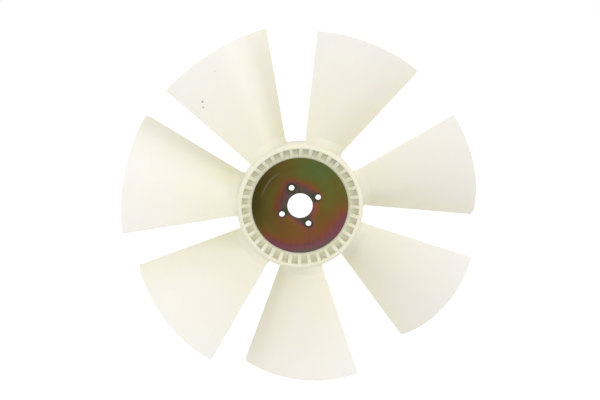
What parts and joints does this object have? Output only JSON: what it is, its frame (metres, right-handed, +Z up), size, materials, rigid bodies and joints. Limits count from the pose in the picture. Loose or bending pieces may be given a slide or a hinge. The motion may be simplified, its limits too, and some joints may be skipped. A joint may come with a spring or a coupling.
{
  "type": "radiator fan blade",
  "caption": "Engine cooling fan moulded in ivory nylon, with broad pitched blades on a ribbed hub ring and a dished, yellow-plated steel plate with a pilot bore and bolt holes.",
  "frame": {"origin": "centre of the pilot bore, on the rear face of the hub plate that is bolted to the fan drive", "axes": "+Y along the spin axis towards the engine, -Y towards the radiator and the viewer of the picture, +Z up"},
  "size_m": [0.56, 0.0884, 0.5587],
  "materials": {
    "nylon": "satin, slightly translucent ivory",
    "plated_steel": "yellow chromated zinc with rainbow tints"
  },
  "bodies": {
    "root": {"fan_moulding": "nylon", "hub_plate": "plated_steel"}
  },
  "joints": []
}
